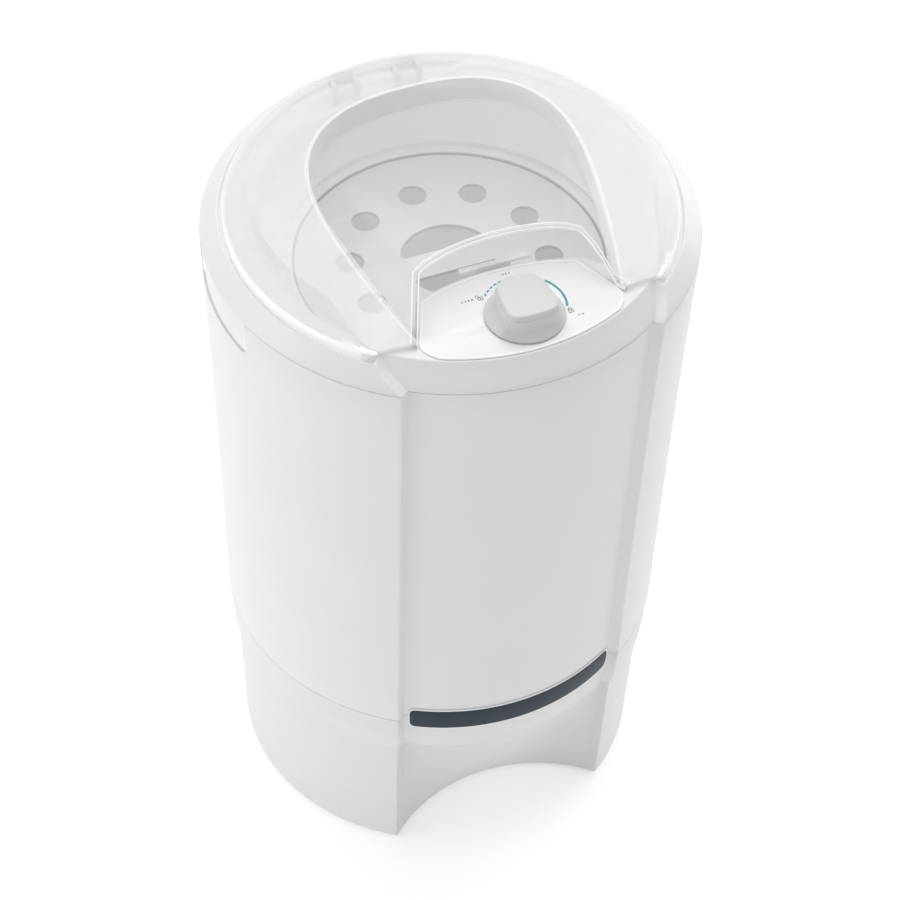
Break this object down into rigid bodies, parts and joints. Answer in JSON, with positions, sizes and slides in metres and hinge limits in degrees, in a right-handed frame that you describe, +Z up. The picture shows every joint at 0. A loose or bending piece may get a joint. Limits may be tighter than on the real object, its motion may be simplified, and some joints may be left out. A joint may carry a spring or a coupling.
{
  "type": "laundry spin dryer",
  "caption": "Round top-loading laundry spin dryer with a hinged clear lid, a rotary knob on a top console, a spinning basket and a hand-held inner disc.",
  "frame": {"origin": "centre of the footprint at floor level; the drum axis stands 4.5 mm in front of it", "axes": "+Z up along the drum axis, -Y the front with the console and the dark strip, +X the right side as the user faces the front"},
  "size_m": [0.467, 0.458, 0.7701],
  "materials": {
    "white_plastic": "satin injection-moulded",
    "inner_plastic": "satin",
    "grip_plastic": "satin, whiter than the casing",
    "clear_plastic": "clear plastic, frosted outside the raised crest",
    "label_film": "printed film",
    "slate_film": "smooth dark film",
    "knob_plastic": "satin",
    "dark_plastic": "moulded",
    "steel": "brushed",
    "cast_alloy": "cast",
    "copper": "enamelled winding",
    "rubber": "matt",
    "friction_pad": "pressed lining",
    "cable_sheath": "sheathed"
  },
  "bodies": {
    "casing": {"base_shell": "white_plastic", "base_plate": "dark_plastic", "foot_front_left": "rubber", "foot_front_right": "rubber", "foot_rear_left": "rubber", "foot_rear_right": "rubber", "outer_shell": "white_plastic", "grip_cup_left": "grip_plastic", "grip_cup_right": "grip_plastic", "front_strip": "slate_film", "strip_bezel": "grip_plastic", "top_collar": "white_plastic", "console_floor": "inner_plastic", "console_label": "label_film", "rotary_switch": "dark_plastic", "hinge_pin_left": "steel", "hinge_pin_right": "steel", "tub": "inner_plastic", "tub_screw_1": "steel", "tub_screw_2": "steel", "tub_screw_3": "steel", "tub_screw_4": "steel", "drain_hose": "rubber", "shaft_seal": "rubber", "lower_bearing": "steel", "upper_bearing": "steel", "motor_housing": "cast_alloy", "motor_cap": "cast_alloy", "motor_stator": "copper", "brake_pivot_pin": "steel", "brake_spring": "steel", "motor_plate": "steel", "suspension_mount_1": "rubber", "suspension_mount_2": "rubber", "suspension_mount_3": "rubber", "capacitor": "cast_alloy", "cord_gland": "dark_plastic", "brake_cable": "cable_sheath", "motor_lead": "cable_sheath"},
    "lid": {"lid": "clear_plastic", "lid_strike": "clear_plastic"},
    "knob": {"knob": "knob_plastic", "knob_shaft": "steel", "latch_cam": "inner_plastic"},
    "latch": {"latch_bolt": "inner_plastic"},
    "brake": {"brake_lever": "steel", "brake_pad": "friction_pad"},
    "basket": {"basket": "inner_plastic", "basket_rim": "inner_plastic", "basket_hub": "cast_alloy", "basket_clamp_ring": "steel", "hub_nut": "steel", "drive_shaft": "steel", "motor_rotor": "steel", "brake_drum": "steel"},
    "disc": {"inner_disc": "inner_plastic"}
  },
  "joints": [
    {"name": "lid_hinge", "type": "hinge", "parent": "casing", "child": "lid", "pos_m": [0, 0.1925, 0.7185], "axis": [-1, 0, 0], "range_deg": [0, 95]},
    {"name": "knob_turn", "type": "hinge", "parent": "casing", "child": "knob", "pos_m": [0.004, -0.1655, 0.72], "axis": [0, 0, -1], "range_deg": [-60, 75]},
    {"name": "latch_slide", "type": "slide", "parent": "casing", "child": "latch", "axis": [0, 1, 0], "range_m": [-0.0098, 0.0122]},
    {"name": "brake_swing", "type": "hinge", "parent": "casing", "child": "brake", "pos_m": [-0.066, -0.0365, 0.2], "axis": [0, 0, 1], "range_deg": [-4, 5], "deforming": ["brake_cable", "brake_spring"]},
    {"name": "basket_spin", "type": "hinge", "parent": "casing", "child": "basket", "pos_m": [0, -0.0045, 0.3], "axis": [0, 0, 1], "continuous": true},
    {"name": "disc_lift", "type": "slide", "parent": "basket", "child": "disc", "axis": [0, 0, 1], "range_m": [0, 0.022]}
  ],
  "couplings": [
    {"joint": "latch_slide", "follows": "knob_turn", "m_per_rad": 0.00917},
    {"joint": "brake_swing", "follows": "knob_turn", "ratio": 0.065}
  ]
}
